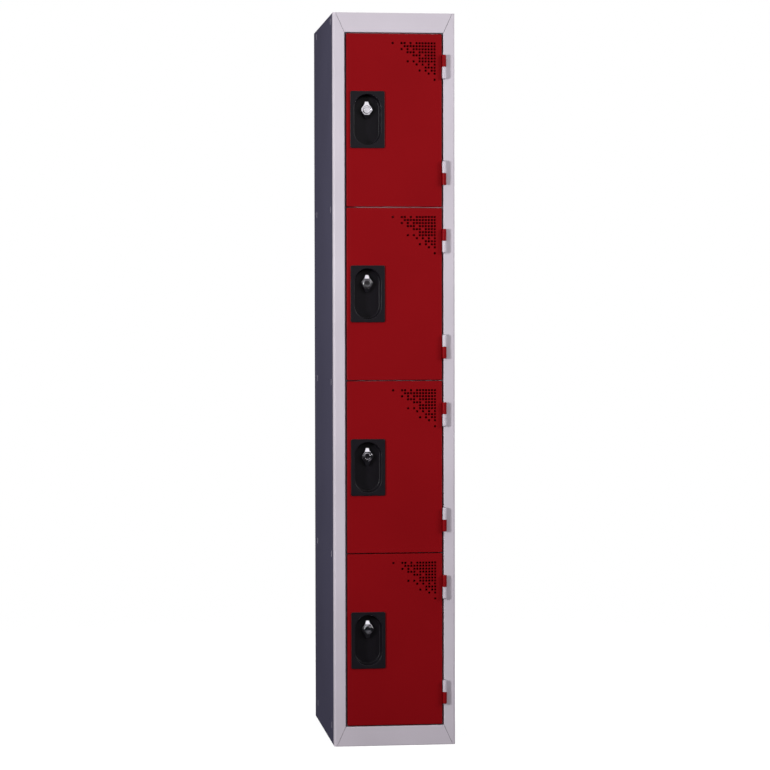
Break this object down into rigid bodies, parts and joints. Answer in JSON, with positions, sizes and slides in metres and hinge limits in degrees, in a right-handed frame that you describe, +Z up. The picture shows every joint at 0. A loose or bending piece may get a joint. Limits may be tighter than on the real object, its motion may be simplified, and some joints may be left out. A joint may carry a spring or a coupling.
{
  "type": "multi-compartment locker",
  "caption": "Tall steel locker, one column of equal compartments behind vented doors with recessed handle cups, turn-knob locks and outside hinges.",
  "frame": {"origin": "on the floor, in the middle of the footprint, hinges included", "axes": "+Z up, the front with its doors faces -Y, +X to the right as seen from the front"},
  "size_m": [0.3, 0.5106, 1.8],
  "materials": {
    "frame_grey": "satin light grey powder coat",
    "side_dark": "satin anthracite powder coat",
    "door_red": "satin red powder coat",
    "cup_black": "fine grained black",
    "knob_chrome": "polished chrome plating",
    "zinc_steel": "zinc plated"
  },
  "bodies": {
    "cabinet": {"side_panel_left": "side_dark", "side_panel_right": "side_dark", "back_panel": "side_dark", "roof_panel": "frame_grey", "base_panel": "frame_grey", "shelf_1": "frame_grey", "shelf_2": "frame_grey", "shelf_3": "frame_grey", "frame_stile_left": "frame_grey", "frame_stile_right": "frame_grey", "frame_rail_top": "frame_grey", "frame_rail_bottom": "frame_grey", "frame_knuckle_1_top": "frame_grey", "hinge_pin_1_top": "zinc_steel", "frame_knuckle_1_bottom": "frame_grey", "hinge_pin_1_bottom": "zinc_steel", "frame_knuckle_2_top": "frame_grey", "hinge_pin_2_top": "zinc_steel", "frame_knuckle_2_bottom": "frame_grey", "hinge_pin_2_bottom": "zinc_steel", "frame_knuckle_3_top": "frame_grey", "hinge_pin_3_top": "zinc_steel", "frame_knuckle_3_bottom": "frame_grey", "hinge_pin_3_bottom": "zinc_steel", "frame_knuckle_4_top": "frame_grey", "hinge_pin_4_top": "zinc_steel", "frame_knuckle_4_bottom": "frame_grey", "hinge_pin_4_bottom": "zinc_steel"},
    "door_1": {"door_1_panel": "door_red", "door_1_handle_cup": "cup_black", "door_1_lock_housing": "zinc_steel", "door_1_lock_nut": "zinc_steel", "door_1_knuckle_top": "door_red", "door_1_knuckle_bottom": "door_red"},
    "lock_1": {"door_1_lock_knob": "knob_chrome", "door_1_lock_cam": "zinc_steel"},
    "door_2": {"door_2_panel": "door_red", "door_2_handle_cup": "cup_black", "door_2_lock_housing": "zinc_steel", "door_2_lock_nut": "zinc_steel", "door_2_knuckle_top": "door_red", "door_2_knuckle_bottom": "door_red"},
    "lock_2": {"door_2_lock_knob": "knob_chrome", "door_2_lock_cam": "zinc_steel"},
    "door_3": {"door_3_panel": "door_red", "door_3_handle_cup": "cup_black", "door_3_lock_housing": "zinc_steel", "door_3_lock_nut": "zinc_steel", "door_3_knuckle_top": "door_red", "door_3_knuckle_bottom": "door_red"},
    "lock_3": {"door_3_lock_knob": "knob_chrome", "door_3_lock_cam": "zinc_steel"},
    "door_4": {"door_4_panel": "door_red", "door_4_handle_cup": "cup_black", "door_4_lock_housing": "zinc_steel", "door_4_lock_nut": "zinc_steel", "door_4_knuckle_top": "door_red", "door_4_knuckle_bottom": "door_red"},
    "lock_4": {"door_4_lock_knob": "knob_chrome", "door_4_lock_cam": "zinc_steel"}
  },
  "joints": [
    {"name": "door_1_hinge", "type": "hinge", "parent": "cabinet", "child": "door_1", "pos_m": [0.1233, -0.2503, 1.539], "axis": [0, 0, 1], "range_deg": [0, 180]},
    {"name": "door_2_hinge", "type": "hinge", "parent": "cabinet", "child": "door_2", "pos_m": [0.1233, -0.2503, 1.113], "axis": [0, 0, 1], "range_deg": [0, 180]},
    {"name": "door_3_hinge", "type": "hinge", "parent": "cabinet", "child": "door_3", "pos_m": [0.1233, -0.2503, 0.687], "axis": [0, 0, 1], "range_deg": [0, 180]},
    {"name": "door_4_hinge", "type": "hinge", "parent": "cabinet", "child": "door_4", "pos_m": [0.1233, -0.2503, 0.261], "axis": [0, 0, 1], "range_deg": [0, 180]},
    {"name": "lock_1_turn", "type": "hinge", "parent": "door_1", "child": "lock_1", "pos_m": [-0.06575, -0.2247, 1.56425], "axis": [0, -1, 0], "range_deg": [0, 90]},
    {"name": "lock_2_turn", "type": "hinge", "parent": "door_2", "child": "lock_2", "pos_m": [-0.06575, -0.2247, 1.13825], "axis": [0, -1, 0], "range_deg": [0, 90]},
    {"name": "lock_3_turn", "type": "hinge", "parent": "door_3", "child": "lock_3", "pos_m": [-0.06575, -0.2247, 0.71225], "axis": [0, -1, 0], "range_deg": [0, 90]},
    {"name": "lock_4_turn", "type": "hinge", "parent": "door_4", "child": "lock_4", "pos_m": [-0.06575, -0.2247, 0.28625], "axis": [0, -1, 0], "range_deg": [0, 90]}
  ]
}
